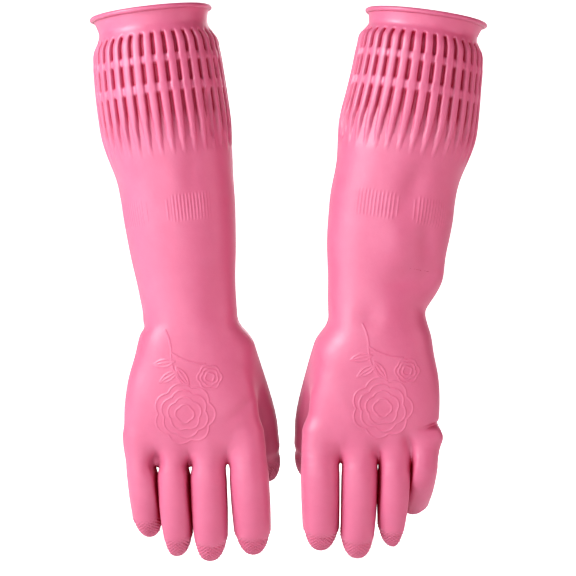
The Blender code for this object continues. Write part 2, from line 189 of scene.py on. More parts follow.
RIBS = 34
GROOVE = 3.0  # depth of a slot between two ribs
RIB_ROWS = ((110, 153), (159.5, 173), (178.5, 192.5))  # heights of the slots between the ribs
BRIDGE = 0.35  # depth left between the rows of slots, over the depth of a slot
RIB_TAPER = 34  # the ribs fade in over this height
RIB_WIDTH = (0.2, 0.58)  # at the foot, as a share of the pitch, and its growth upwards
RIB_ROUND = 0.34  # share of a slot's depth that comes from the round crest
RIB_WALL = 0.82  # where between crest and slot the steep wall begins
BUNCHING = 0.55  # how much closer together the cuff's columns stand in the slots
# Folds that run along the cuff: angle, lowest, highest, half width, depth
FOLDS = {
    "right": ((47, 116, 155, 2.4, 3.0), (65, 162, 176, 1.8, 1.8)),
    "left": ((-72, 112, 196, 2.6, 3.4),),
}
# Fine upright lines round the sleeve, with a blank panel: middle angle, reach, half of the panel
LINES = {"right": (-21, 59, 14), "left": (12, 52, 10)}
LINE_BAND = (66, 83)
LINE_COUNT = 104
LINE_HEIGHT = 0.3
DENT_REACH = 22  # how far inwards a dent fades out, so that it stays on its own side
# Soft dents. Angle from the back of the hand, height, length, width, tilt, depth
SLEEVE_DENTS = {
    "right": (
        (22, 96, 26, 7, 4, 0.9),
        (-12, 100, 20, 7, -3, 0.5),
        (-90, -2, 3, 14, 0, 1.4),
        (40, 14, 20, 8, 12, 0.8),
    ),
    "left": (
        (13, 88, 20, 9, 10, 2.6),
        (24, 28, 16, 8, 62, 2.6),
        (38, 53, 16, 6, -12, 2.2),
        (54, 32, 11, 5.5, 35, 1.8),
        (6, 52, 13, 11, 0, -2.0),
        (-8, -2, 9, 8, 30, 2.0),
        (88, 30, 13, 14, 0, -3.8),
        (85, 8, 5, 14, 10, 1.0),
    ),
}
# The same on the hand: place across, towards the palm and up, then angle, length, width, tilt, depth
HAND_DENTS = {
    "right": (
        ((36, -14, -62), 30, 12, 4, 50, 1.2),
        ((-34, -14, -30), 0, 16, 8, -20, 0.6),
        ((10, -17, -88), 0, 8, 7, 0, -0.5),
        ((-24, -13, -99), 0, 7, 5, 25, 3.2),
        ((-1, -14, -101), 0, 5, 4, 20, 2.0),
    ),
    "left": (
        ((40, -8, -76), 50, 8, 1.8, 78, 3.0),
        ((41, -4, -84), 70, 6, 6, 0, -2.2),
        ((4, -18, -52), 0, 22, 14, -30, 1.2),
        ((-20, -18, -66), 0, 18, 5, -28, -0.7),
        ((33, -4, -12), 85, 15, 14, 0, -2.2),
        ((-32, -4, -12), -85, 12, 14, 0, 1.2),
        ((21, -14, -88), 0, 7, 4, -15, 3.0),
        ((-1, -14, -95), 0, 5, 3.5, -20, 1.5),
    ),
}
EMBLEM = {"right": (-3.0, -65.0), "left": (3.0, -63.0)}  # across and up from the wrist
EMBLEM_RADIUS = 20.0
EMBLEM_ROOM = (28, -22, 62)  # half width, lowest and highest place
EMBLEM_FINE = 1.6  # the mesh is finer within this distance of a line
LINE_WIDTH = 0.62  # half width of an embossed line
EMBOSS = 0.33  # height of an embossed line
GRIP = 0.85  # height of the fingertips' diamonds, from valley to crest
GRIP_PITCH = 2.0
GRIP_LENGTH = 22.0  # from the tip, along the digit
GRIP_POINTS = 0.6  # below 1, the valleys between the diamonds are narrow
# Noise in the rubber: scale and detail
NOISE = {"tone": (35, 4), "shine": (90, 3), "ripple": (150, 2), "grain": (1400, 2)}
ROUGHNESS = (0.40, 0.50)
SPECULAR = 0.7  # on open skin; as painted shade, it falls to none in the hollows
OPENNESS = (0.25, 0.8)  # skin gets the full painted shade below this much open space, and none above
RUBBER_PALE = (0.66, 0.185, 0.31)
RUBBER_DEEP = (0.62, 0.155, 0.275)
# painted shade: the deep crimson that creases, slots and gaps between fingers are darkened towards, standing
# in for their shadow
RUBBER_PAINTED_SHADE = (0.42, 0.002, 0.035)
PAINTED_SHADE_REACH = 0.005  # metres to the other skin within which the painted shade sets in
FLOOR_DROP = 0.008  # metres between the hanging fingertips and the floor

PICTURE_MIDDLE = (-0.0007, 0, 0.1890)
VIEW_DISTANCE = 1.7
VIEW_WIDTH = 0.395
SENSOR = 36
STUDIO_GLOW = (1, 0.2, 0.35, 1)
GLOW_STRENGTH = 0.07
PINK_LIGHT = (1, 0.5, 0.62)
WHITE_LIGHT = (1, 1, 1)
# Lights: name, place, size, power, color
LIGHTS = (
    ("key", (-1.35, -0.95, 0.85), 0.9, 32, WHITE_LIGHT),
    ("side", (1.45, -0.6, 0.5), 0.8, 8, PINK_LIGHT),
    ("fill", (-0.25, -1.7, 0.4), 0.7, 4, WHITE_LIGHT),
    ("back", (0.5, 1.7, 0.9), 0.9, 9, WHITE_LIGHT),
)


def smoothstep(low, high, x):
    t = np.clip((x - low) / (high - low), 0, 1)
    return t * t * (3 - 2 * t)


def soft_min(a, b, k):
    h = np.maximum(k - np.abs(a - b), 0) / k
    return np.minimum(a, b) - h * h * k / 4


def soft_max(a, b, k):
    return -soft_min(-a, -b, k)


def smooth_rows(rows, at):
    """Every column of a table at these places, on a smooth curve through its rows."""
    rows = np.array(rows, float)
    x, y = rows[:, 0], rows[:, 1:]
    at = np.clip(at, x[0], x[-1])
    slope = np.gradient(y, x, axis=0)
    i = np.clip(np.searchsorted(x, at) - 1, 0, len(x) - 2)
    h = x[i + 1] - x[i]
    t = ((at - x[i]) / h)[:, None]
    h = h[:, None]
    low = (2 * t**3 - 3 * t**2 + 1) * y[i] + (t**3 - 2 * t**2 + t) * h * slope[i]
    high = (3 * t**2 - 2 * t**3) * y[i + 1] + (t**3 - t**2) * h * slope[i + 1]
    return (low + high).T


def joint_at(name):
    return np.array(JOINTS[name]["pos_m"], float) / MM


class Axes:
    """A place on a body: x along a joint's axis, y towards the palm, z up the limb."""

    def __init__(self, joint):
        self.origin = joint_at(joint)
        x = np.array(JOINTS[joint]["axis"], float)
        x /= np.linalg.norm(x)
        z = np.cross(x, (0, 1, 0))
        z /= np.linalg.norm(z)
        self.matrix = np.array((x, np.cross(z, x), z)).T

    def local(self, points):
        return (points - self.origin) @ self.matrix

    def world(self, points):
        return np.asarray(points, float) @ self.matrix.T + self.origin


def tube_field(x, y, half_width, half_depth, power):
    """Roughly the distance to a tube with this superellipse for a section, below zero inside."""
    u, v = np.abs(x) / half_width, np.abs(y) / half_depth
    g = np.maximum((u**power + v**power) ** (1 / power), 1e-4)
    slope = np.hypot((u / g) ** (power - 1) / half_width, (v / g) ** (power - 1) / half_depth)
    return (g - 1) / np.maximum(slope, 1e-4)


def curve_through(points, samples=24):
    """A smooth curve through these points, finely sampled, with its length so far at each sample."""
    points = np.array(points, float)
    ends = np.vstack((2 * points[0] - points[1], points, 2 * points[-1] - points[-2]))
    made = []
    for i in range(1, len(ends) - 2):
        a, b, c, d = ends[i - 1 : i + 3]
        t = np.linspace(0, 1, samples, endpoint=False)[:, None]
        made.append(
            0.5
            * (2 * b + (c - a) * t + (2 * a - 5 * b + 4 * c - d) * t**2 + (3 * b - a - 3 * c + d) * t**3)
        )
    made.append(points[-1:])
    curve = np.concatenate(made)
    steps = np.linalg.norm(np.diff(curve, axis=0), axis=1)
    return curve, np.concatenate(([0], np.cumsum(steps)))


class Digit:
    """A finger or the thumb, as a chain of balls of changing size along a smooth curve."""

    def __init__(self, points, radii):
        curve, length = curve_through(points)
        marks = [length[24 * i] for i in range(len(points))]
        tip = radii[-1]
        dome_from = length[-1] - DOME * tip
        sizes = np.array((*marks[: len(radii) - 1], dome_from))
        along = np.linspace(0, dome_from, 12)
        radius = np.interp(along, sizes, radii)
        across = np.linspace(0, (DOME**2 - 1) / DOME, 7)[1:]
        along = np.concatenate((along, dome_from + across * tip))
        radius = np.concatenate((radius, tip * np.sqrt(1 - across**2 / (DOME**2 - 1))))
        self.centres = np.array([np.interp(along, length, curve[:, k]) for k in range(3)]).T
        self.radii = radius
        self.low = (self.centres - radius[:, None]).min(axis=0)
        self.high = (self.centres + radius[:, None]).max(axis=0)

    def field(self, points):
        nearest = np.full(len(points), 1e3)
        parts = zip(self.centres, self.centres[1:], self.radii, self.radii[1:])
        for a, b, ra, rb in parts:
            ab = b - a
            t = np.clip((points - a) @ ab / (ab @ ab), 0, 1)
            away = np.linalg.norm(points - a - t[:, None] * ab, axis=1)
            nearest = np.minimum(nearest, away - ra - (rb - ra) * t)
        return nearest

    def near(self, points, margin):
        return np.all((points > self.low - margin) & (points < self.high + margin), axis=1)


def far_point(node, start):
    """The point of a CAD node farthest from this place."""
    vertices = np.array([v.co for v in frame["nodes"][node].data.vertices], float) / MM
    return vertices[np.argmax(np.linalg.norm(vertices - start, axis=1))]


def unit(v):
    return v / np.linalg.norm(v)


class Glove:
    def __init__(self, name):
        self.name = name
        self.side = 1 if name == "right" else -1
        self.hand = Axes(f"{name}_wrist_bend")
        self.sleeve = Axes(f"{name}_sleeve_bend")
        self.sleeve.origin = self.hand.origin
        self.digits = {}
        self.stations = {}
        self.gap = MESH_GAP
        for finger in FINGERS:
            self.add_finger(finger)
        self.add_thumb()
        self.walls = [self.wall(a, b) for a, b in zip(FINGERS, FINGERS[1:])]

    def add_finger(self, finger):
        stem = f"{self.name}_{finger}"
        root, middle, tip = (
            joint_at(f"{stem}_{kind}_bend") for kind in ("knuckle", "middle", "tip")
        )
        end = far_point(f"{stem}_tip", tip)
        heel = root + np.array((root[0] - middle[0], 0, root[2] - middle[2])) * 1.3
        radii = RADII[finger]
        self.add_digit(finger, (heel, root, middle, tip, end), (0.8 * radii[0], *radii))

    def add_thumb(self):
        root = joint_at(f"{self.name}_thumb_swing")
        tip = joint_at(f"{self.name}_thumb_bend")
        end = far_point(f"{self.name}_thumb_tip", tip)
        heel = self.hand.world(np.array(THUMB_HEEL) * (self.side, 1, 1))
        self.add_digit("thumb", (heel, root, tip, end), (THUMB_HEEL_RADIUS, *THUMB_RADII))

    def add_digit(self, digit, stations, radii):
        shifts = np.array(POSTURE[self.name].get(digit, np.zeros((len(stations), 3))), float)
        stations = tuple(np.array(stations) + shifts)
        self.digits[digit] = Digit(stations, radii)
        self.stations[digit] = stations

    def wall(self, a, b):
        """The plane that keeps two neighbouring fingers apart, as a point and a normal towards b."""
        first, second = self.stations[a], self.stations[b]
        ra, rb = RADII[a][0], RADII[b][0]
        point = (first[1] * rb + second[1] * ra) / (ra + rb)
        along = unit(first[3] - first[1]) + unit(second[3] - second[1])
        along[1] = 0
        normal = unit(np.cross(along, (0, 1, 0)))
        normal *= np.sign(normal @ (second[1] - first[1]))
        return point, unit(normal + (0, WALL_SLANT if b != "middle" else 0, 0))

    def body_field(self, points):
        """The field of the sleeve and the palm, without the fingers."""
        x, y, z = self.hand.local(points).T
        half_width, half_depth, shift, power = smooth_rows(HAND, -z)
        slim = SLIM[self.name] * half_width * smoothstep(*SLIM_BAND, -z)
        palm = tube_field(x - self.side * (shift + slim), y, half_width - slim, half_depth, power)
        palm = soft_max(palm, -z - PALM_LENGTH, PALM_END)
        sx, sy, sz = self.sleeve.local(points).T
        half_width, half_depth = self.sleeve_size(sz)
        tube = tube_field(sx - self.sway(sz), sy, half_width, half_depth, 2.0)
        share = smoothstep(-WRIST_SHARE, WRIST_SHARE, z)
        return palm * (1 - share) + tube * share

    def sway(self, height):
        right, left = smooth_rows(SWAY, height)
        return right if self.side > 0 else -left

    def rim_lift(self, across, height):
        """How much higher the open end lies here than on an even sleeve."""
        middle, slope = RIM_LIFT[self.name]
        return (middle + slope * across) * smoothstep(*RIM_BAND, height)

    def sleeve_size(self, height):
        half_width, half_depth = smooth_rows(SLEEVE, height)
        if self.name == "left":
            (spread,) = smooth_rows(SPREAD, height)
            half_width, half_depth = half_width * (1 + spread), half_depth * (1 - spread)
        return half_width, half_depth

    def field(self, points):
        field = self.body_field(points)
        nearest = np.full(len(points), 1e3)
        for i, finger in enumerate(FINGERS):
            digit = self.digits[finger]
            at = digit.near(points, 12)
            here = points[at]
            if not len(here):
                continue
            value = digit.field(here)
            for k, sign in ((i - 1, -1), (i, 1)):
                if 0 <= k < len(self.walls):
                    point, normal = self.walls[k]
                    side = sign * (here - point) @ normal + self.gap / 2
                    value = soft_max(value, side, WALL_ROUND)
            nearest[at] = np.minimum(nearest[at], value)
        field = soft_min(field, nearest, WEB)
        thumb = self.digits["thumb"]
        at = thumb.near(points, 15)
        field[at] = soft_min(field[at], thumb.field(points[at]), THENAR)
        return field

    def gradient(self, points):
        step = 0.05
        slopes = []
        for k in range(3):
            offset = np.zeros(3)
            offset[k] = step
            slopes.append((self.field(points + offset) - self.field(points - offset)) / (2 * step))
        return np.array(slopes).T

    def settle(self, points, rounds=3):
        """Moves points near the skin onto it, and gives the skin's normals there."""
        for _ in range(rounds):
            slope = self.gradient(points)
            length = np.maximum((slope**2).sum(axis=1), 1e-4)
            move = slope * (self.field(points) / length)[:, None]
            points = points - np.clip(move, -GRID, GRID)
        slope = self.gradient(points)
        return points, slope / np.linalg.norm(slope, axis=1)[:, None]


def surface_net(values, origin, step):
    """Corner points and four-sided faces of the zero surface of a grid of values."""
    inside = values < 0
    counts = np.zeros(np.array(values.shape) - 1, np.int8)
    corners = [(i, j, k) for i in (0, 1) for j in (0, 1) for k in (0, 1)]
    nx, ny, nz = counts.shape
    for i, j, k in corners:
        counts += inside[i : i + nx, j : j + ny, k : k + nz]
    cells = np.argwhere((counts > 0) & (counts < 8))
    index = np.full(counts.shape, -1)
    index[tuple(cells.T)] = np.arange(len(cells))
    total = np.zeros((len(cells), 3))
    found = np.zeros(len(cells))
    for axis in range(3):
        for corner in corners:
            if corner[axis]:
                continue
            start = cells + corner
            end = start.copy()
            end[:, axis] += 1
            a, b = values[tuple(start.T)], values[tuple(end.T)]
            crosses = (a < 0) != (b < 0)
            share = a[crosses] / (a[crosses] - b[crosses])
            place = start[crosses].astype(float)
            place[:, axis] += share
            total[crosses] += place
            found[crosses] += 1
    points = total / found[:, None] * step + origin
    faces = []
    for axis in range(3):
        one, two = (axis + 1) % 3, (axis + 2) % 3
        ahead = np.moveaxis(inside, axis, 0)
        crossing = np.argwhere(np.moveaxis(ahead[1:] != ahead[:-1], 0, axis))
        keep = (crossing[:, one] > 0) & (crossing[:, two] > 0)
        keep &= (crossing[:, one] < counts.shape[one]) & (crossing[:, two] < counts.shape[two])
        crossing = crossing[keep]
        around = []
        for back_one, back_two in ((1, 1), (0, 1), (0, 0), (1, 0)):
            cell = crossing.copy()
            cell[:, one] -= back_one
            cell[:, two] -= back_two
            around.append(index[tuple(cell.T)])
        quads = np.array(around).T
        outward = inside[tuple(crossing.T)]
        faces.append(np.where(outward[:, None], quads, quads[:, ::-1]))
    return points, np.concatenate(faces)


def vertex_normals(points, triangles):
    a, b, c = (points[triangles[:, k]] for k in range(3))
    face = np.cross(b - a, c - a)
    normals = np.zeros_like(points)
    for k in range(3):
        for axis in range(3):
            normals[:, axis] += np.bincount(triangles[:, k], face[:, axis], len(points))
    return normals / np.maximum(np.linalg.norm(normals, axis=1), 1e-12)[:, None]


def soft_dent(axes, points, centre, angle, length, width, tilt, depth):
    """How far this dent lifts the skin at these points. Its angle says which way the skin faces there."""
    turn, tilt = math.radians(angle), math.radians(tilt)
    outward = np.array((math.sin(turn), -math.cos(turn), 0))
    tangent = np.array((math.cos(turn), math.sin(turn), 0))
    up = np.array((0, 0, 1))
    along = math.cos(tilt) * up + math.sin(tilt) * tangent
    across = math.cos(tilt) * tangent - math.sin(tilt) * up
    away = axes.local(points) - centre
    far = (away @ along / length) ** 2 + (away @ across / width) ** 2
    far += (away @ outward / DENT_REACH) ** 2
    return -depth * np.exp(-far)


def dents(glove, points):
    lift = np.zeros(len(points))
    for angle, height, length, width, tilt, depth in SLEEVE_DENTS[glove.name]:
        half_width, half_depth = (size[0] for size in glove.sleeve_size(np.array([float(height)])))
        turn = math.radians(angle)
        centre = (half_width * math.sin(turn), -half_depth * math.cos(turn), height)
        lift += soft_dent(glove.sleeve, points, centre, angle, length, width, tilt, depth)
    for centre, angle, length, width, tilt, depth in HAND_DENTS[glove.name]:
        lift += soft_dent(glove.hand, points, centre, angle, length, width, tilt, depth)
    return lift


def line_distance(points, line):
    """Distance in the plane from each point to a line through these corners."""
    nearest = np.full(len(points), 1e3)
    for a, b in zip(line, line[1:]):
        ab = b - a
        t = np.clip((points - a) @ ab / (ab @ ab), 0, 1)
        nearest = np.minimum(nearest, np.linalg.norm(points - a - t[:, None] * ab, axis=1))
    return nearest


def bow(start, end, bulge, count=14):
    """A curved line from start to end that bulges to one side by this share of its length."""
    start, end = np.array(start, float), np.array(end, float)
    t = np.linspace(0, 1, count)[:, None]
    side = np.array((end[1] - start[1], start[0] - end[0]))
    return start + (end - start) * t + side * bulge * 4 * t * (1 - t)


def rosette_distance(points, centre, radius, rings):
    """Distance to the nearest of some scalloped rings, each with one petal less than the ring outside it."""
    x, z = (points - centre).T
    r, angle = np.hypot(x, z), np.arctan2(z, x)
    nearest = np.full(len(points), 1e3)
    for i in range(rings):
        size = radius * (1 - i / rings) ** 0.85
        petals = rings + 3 - i
        scallop = size * (0.9 + 0.14 * np.abs(np.cos(petals * angle / 2 + 1.1 * i)))
        nearest = np.minimum(nearest, np.abs(r - scallop))
    return nearest


def emblem_distance(glove, x, z):
    """Distance from the back of the hand's embossed lines: two plain rosettes, their stems and leaves."""
    centre = np.array(EMBLEM[glove.name])
    points = np.column_stack((x, z)) - centre
    radius = EMBLEM_RADIUS
    small = np.array((0.85, 1.25)) * radius
    nearest = rosette_distance(points, (0, 0), radius, 4)
    nearest = np.minimum(nearest, rosette_distance(points, small, 0.4 * radius, 3))
    fork = np.array((-0.45, 2.1)) * radius
    base = np.array((-0.1, 1.05)) * radius
    stems = (bow(fork + (-4, 15), fork, -0.06), bow(fork, base, 0.1), bow(fork, small + (-3, 9), 0.08))
    for stem in stems:
        nearest = np.minimum(nearest, line_distance(points, stem))
    for share, angle in ((0.3, 190), (0.62, 212), (0.5, 305)):
        root = fork + (base - fork) * share
        turn = math.radians(angle)
        tip = root + 0.72 * radius * np.array((math.cos(turn), math.sin(turn)))
        for bulge in (-0.17, 0, 0.17):
            nearest = np.minimum(nearest, line_distance(points, bow(root, tip, bulge, 8)))
    return nearest


def in_emblem(glove, points):
    x, y, z = glove.hand.local(points).T
    across, up = x - EMBLEM[glove.name][0], z - EMBLEM[glove.name][1]
    wide, low, high = EMBLEM_ROOM
    return (y < -4) & (np.abs(across) < wide) & (up > low) & (up < high)


def in_fine_emblem(glove, points):
    at = in_emblem(glove, points)
    x, _, z = glove.hand.local(points[at]).T
    at[at] = emblem_distance(glove, x, z) < EMBLEM_FINE
    return at


def emboss(glove, points):
    lift = np.zeros(len(points))
    at = in_emblem(glove, points)
    x, _, z = glove.hand.local(points[at]).T
    lift[at] = EMBOSS * np.exp(-((emblem_distance(glove, x, z) / LINE_WIDTH) ** 2))
    return lift


def grip(glove, points):
    """Rows of small diamonds round each fingertip."""
    lift = np.zeros(len(points))
    for digit, stations in glove.stations.items():
        hinge, end = stations[-2:]
        axis = unit(end - hinge)
        across = unit(np.cross(axis, (0, 1, 0)))
        behind = np.cross(axis, across)
        away = end - points
        depth = away @ axis
        x, y = away @ across, away @ behind
        radius = glove.digits[digit].radii[0]
        at = (depth > -2) & (depth < GRIP_LENGTH + 4) & (np.hypot(x, y) < 1.3 * radius)
        depth, angle = depth[at], np.arctan2(y[at], x[at])
        diagonal = math.sqrt(2) * GRIP_PITCH
        count = round(2 * math.pi * radius / diagonal)
        rise, turn = depth / diagonal, count * angle / (2 * math.pi)
        waves = np.sin(np.pi * (rise + turn)) * np.sin(np.pi * (rise - turn))
        diamonds = np.abs(waves) ** GRIP_POINTS
        fade = smoothstep(GRIP_LENGTH, GRIP_LENGTH - 6, depth) * smoothstep(0.5, 3, depth)
        lift[at] += GRIP * (diamonds - 0.5) * fade
    return lift


def near_tips(glove, points):
    near = np.zeros(len(points), bool)
    for stations in glove.stations.values():
        hinge, end = stations[-2:]
        near |= ((end - points) @ unit(end - hinge) < GRIP_LENGTH) & (
            np.linalg.norm(points - end, axis=1) < GRIP_LENGTH + 6
        )
    return near


def relief(glove, points):
    return dents(glove, points) + emboss(glove, points) + grip(glove, points)


def lifted(glove, points, normals):
    """The skin with its relief: moved points, and the normals of the surface they lie on."""
    step = 0.08
    slope = np.zeros_like(points)
    for k in range(3):
        offset = np.zeros(3)
        offset[k] = step
        rise = relief(glove, points + offset) - relief(glove, points - offset)
        slope[:, k] = rise / (2 * step)
    slope -= normals * (slope * normals).sum(axis=1)[:, None]
    moved = points + normals * relief(glove, points)[:, None]
    tilted = normals - slope
    return moved, tilted / np.linalg.norm(tilted, axis=1)[:, None]


def refine(points, triangles, wanted):
    """Halves every edge whose middle is wanted, and splits the triangles on it to match."""
    edges = np.sort(np.concatenate([triangles[:, [0, 1]], triangles[:, [1, 2]], triangles[:, [2, 0]]]))
    edges, which = np.unique(edges, axis=0, return_inverse=True)
    which = which.reshape(3, -1).T
    middles = points[edges].mean(axis=1)
    halved = wanted(middles)
    number = np.full(len(edges), -1)
    number[halved] = len(points) + np.arange(halved.sum())
    cut = number[which]
    count = (cut >= 0).sum(axis=1)
    made = [triangles[count == 0]]
    for k in range(3):
        a, b, c = (triangles[:, (k + i) % 3] for i in range(3))
        ab, bc, ca = (cut[:, (k + i) % 3] for i in range(3))
        one = (count == 1) & (ab >= 0)
        made.append(np.column_stack((a, ab, c))[one])
        made.append(np.column_stack((ab, b, c))[one])
        two = (count == 2) & (ca < 0)
        made.append(np.column_stack((ab, b, bc))[two])
        made.append(np.column_stack((a, ab, bc))[two])
        made.append(np.column_stack((a, bc, c))[two])
    all_three = count == 3
    a, b, c = triangles[all_three].T
    ab, bc, ca = cut[all_three].T
    for corners in ((a, ab, ca), (ab, b, bc), (ca, bc, c), (ab, bc, ca)):
        made.append(np.column_stack(corners))
    return np.concatenate((points, middles[halved])), np.concatenate(made)


def hand_mesh(glove):
    """The skin of the hand, from above the seam with the sleeve to the fingertips."""
    boxes = [(digit.low, digit.high) for digit in glove.digits.values()]
    low = np.min([box[0] for box in boxes], axis=0) - 4
    high = np.max([box[1] for box in boxes], axis=0) + 4
    wrist = glove.hand.origin
    low = np.minimum(low, wrist - (*HAND_ROOM, 0))
    high = np.maximum(high, wrist + (*HAND_ROOM, SLEEVE_CUT + 14))
    shape = np.ceil((high - low) / GRID).astype(int) + 1
    axes = [low[k] + GRID * np.arange(shape[k]) for k in range(3)]
    values = np.empty(shape, np.float32)
    plane = np.array(np.meshgrid(axes[0], axes[1], indexing="ij")).reshape(2, -1).T
    for k, z in enumerate(axes[2]):
        level = np.column_stack((plane, np.full(len(plane), z)))
        values[:, :, k] = glove.field(level).reshape(shape[:2])
    points, quads = surface_net(values, low, GRID)
    mesh = bpy.data.meshes.new("work")
    mesh.from_pydata(points.tolist(), [], quads.tolist())
    bm = bmesh.new()
    bm.from_mesh(mesh)
    bpy.data.meshes.remove(mesh)
    seam = glove.sleeve.world((0, 0, SLEEVE_CUT))
    up = glove.sleeve.matrix[:, 2]
    geometry = bm.verts[:] + bm.edges[:] + bm.faces[:]
    bmesh.ops.bisect_plane(bm, geom=geometry, dist=1e-4, plane_co=seam, plane_no=up)
    return bm


def mesh_arrays(bm):
    bmesh.ops.triangulate(bm, faces=bm.faces)
    bm.verts.index_update()
    points = np.array([v.co for v in bm.verts], float)
    triangles = np.array([[v.index for v in face.verts] for face in bm.faces])
    bm.free()
    return points, triangles


def add_object(name, data):
    obj = bpy.data.objects.new(name, data)
    bpy.context.scene.collection.objects.link(obj)
    return obj


def new_piece(name, points, inner, normals, triangles):
    """A closed thin shell: the outer skin, the inner skin and the edge between them."""
    used = np.unique(triangles)
    count = len(used)
    order = np.full(len(points), -1)
    order[used] = np.arange(count)
    outer = order[triangles]
    edges = np.concatenate((outer[:, [0, 1]], outer[:, [1, 2]], outer[:, [2, 0]]))
    keys = edges[:, 0].astype(np.int64) * count + edges[:, 1]
    back = edges[:, 1].astype(np.int64) * count + edges[:, 0]
    rim = edges[~np.isin(keys, back)]
    a, b = rim[:, 0], rim[:, 1]
    walls = np.concatenate(
        (np.column_stack((b, a, a + count)), np.column_stack((b, a + count, b + count)))
    )
    faces = np.concatenate((outer, outer[:, ::-1] + count, walls))
    vertices = np.concatenate((points[used], inner[used])) * MM
    mesh = bpy.data.meshes.new(name)
    mesh.from_pydata(vertices.tolist(), [], faces.tolist())
    mesh.shade_smooth()
    shading = np.concatenate((normals[used], -normals[used]))
    mesh.normals_split_custom_set_from_vertices(shading.tolist())
    return add_object(name, mesh)


def add_node(nodes, kind, **settings):
    """A new shader node. A setting is an attribute or the default of an input."""
    node = nodes.new(f"ShaderNode{kind}")
    for key, value in settings.items():
        if hasattr(node, key):
            setattr(node, key, value)
        else:
            node.inputs[key.replace("_", " ")].default_value = value
    return node


def rubber_noise(nodes, links, place, kind):
    scale, detail = NOISE[kind]
    noise = add_node(nodes, "TexNoise", Scale=scale, Detail=detail, Roughness=0.6)
    links.new(place.outputs["Object"], noise.inputs["Vector"])
    return noise.outputs["Fac"]


def span(nodes, links, value, low, high):
    """Maps noise round its middle to between low and high."""
    spread = add_node(nodes, "MapRange")
    for name, number in (("From Min", 0.3), ("From Max", 0.7), ("To Min", low), ("To Max", high)):
        spread.inputs[name].default_value = number
    links.new(value, spread.inputs["Value"])
    return spread.outputs["Result"]


def pink_rubber():
    """Dipped latex: a slightly cloudy pink with a soft uneven shine, and painted shade in narrow hollows: a
    deeper crimson and no shine there.
    """
    material = bpy.data.materials.new("pink_rubber")
    material.use_nodes = True
    nodes, links = material.node_tree.nodes, material.node_tree.links
    shader = nodes["Principled BSDF"]
    place = add_node(nodes, "TexCoord")

    tone = span(nodes, links, rubber_noise(nodes, links, place, "tone"), 0.0, 1.0)
    cloud = add_node(nodes, "Mix", data_type="RGBA")
    cloud.inputs[6].default_value = (*RUBBER_DEEP, 1)
    cloud.inputs[7].default_value = (*RUBBER_PALE, 1)
    links.new(tone, cloud.inputs[0])

    # painted shade: ambient occlusion darkens the colour towards deep crimson where other skin lies close,
    # in creases, slots and between fingers
    painted_shade_ao = add_node(nodes, "AmbientOcclusion", samples=6)
    painted_shade_ao.inputs["Distance"].default_value = PAINTED_SHADE_REACH
    openness = add_node(nodes, "MapRange", interpolation_type="SMOOTHSTEP")
    openness.inputs["From Min"].default_value = OPENNESS[0]
    openness.inputs["From Max"].default_value = OPENNESS[1]
    links.new(painted_shade_ao.outputs["AO"], openness.inputs["Value"])
    shade = add_node(nodes, "Mix", data_type="RGBA")
    shade.inputs[6].default_value = (*RUBBER_PAINTED_SHADE, 1)
    links.new(openness.outputs["Result"], shade.inputs[0])
    links.new(cloud.outputs[2], shade.inputs[7])
    links.new(shade.outputs[2], shader.inputs["Base Color"])

    shine = span(nodes, links, rubber_noise(nodes, links, place, "shine"), *ROUGHNESS)
    links.new(shine, shader.inputs["Roughness"])
    # painted shade: the shine fades out in the same hollows
    gloss = add_node(nodes, "Math", operation="MULTIPLY")
    gloss.inputs[1].default_value = SPECULAR
    links.new(openness.outputs["Result"], gloss.inputs[0])
    links.new(gloss.outputs[0], shader.inputs["Specular IOR Level"])
    shader.inputs["Subsurface Weight"].default_value = 0.1
    shader.inputs["Subsurface Radius"].default_value = (1.0, 0.35, 0.4)
    shader.inputs["Subsurface Scale"].default_value = 0.002

    ripple = rubber_noise(nodes, links, place, "ripple")
    grain = rubber_noise(nodes, links, place, "grain")
    soft = add_node(nodes, "Bump", Strength=0.25, Distance=0.0006)
    links.new(ripple, soft.inputs["Height"])
    fine = add_node(nodes, "Bump", Strength=0.25, Distance=0.0001)
    links.new(grain, fine.inputs["Height"])
    links.new(soft.outputs["Normal"], fine.inputs["Normal"])
    links.new(fine.outputs["Normal"], shader.inputs["Normal"])
    return material


def build_hand(glove, material):
    name = glove.name
    points, triangles = mesh_arrays(hand_mesh(glove))
    glove.gap = FINGER_GAP
    points, _ = glove.settle(points)
    for _ in range(2):
        points, triangles = refine(points, triangles, lambda at: in_fine_emblem(glove, at))
    points, triangles = refine(points, triangles, lambda at: near_tips(glove, at))
    points, smooth = glove.settle(points, 2)
    points, normals = lifted(glove, points, smooth)
    inner = points - smooth * SKIN
    centres = points[triangles].mean(axis=1)
    height = glove.sleeve.local(centres)[:, 2]
    level = glove.hand.local(centres)[:, 2]
    keep = height < SLEEVE_CUT
    piece_of = np.where(level > -WRIST_CUT, 0, 1)
    names = ["wrist", "palm"]
    owners = {}
    distances = {digit: glove.digits[digit].field(centres) for digit in glove.digits}
    nearest = np.argmin(np.array(list(distances.values())), axis=0)
    for number, digit in enumerate(distances):
        stations = glove.stations[digit]
        mine = (nearest == number) & (distances[digit] < DIGIT_MARGIN) & (level < -WRIST_CUT)
        if digit == "thumb":
            mine &= distances[digit] < glove.body_field(centres)
        for part, point, direction in digit_cuts(digit, stations):
            below = mine & ((centres - point) @ direction > 0)
            names.append(f"{digit}_{part}")
            piece_of[below] = len(names) - 1
    for number, label in enumerate(names):
        chosen = triangles[(piece_of == number) & keep]
        obj = new_piece(f"{name}_{label}", points, inner, normals, chosen)
        obj.data.materials.append(material)
        owners[label] = obj
    return owners


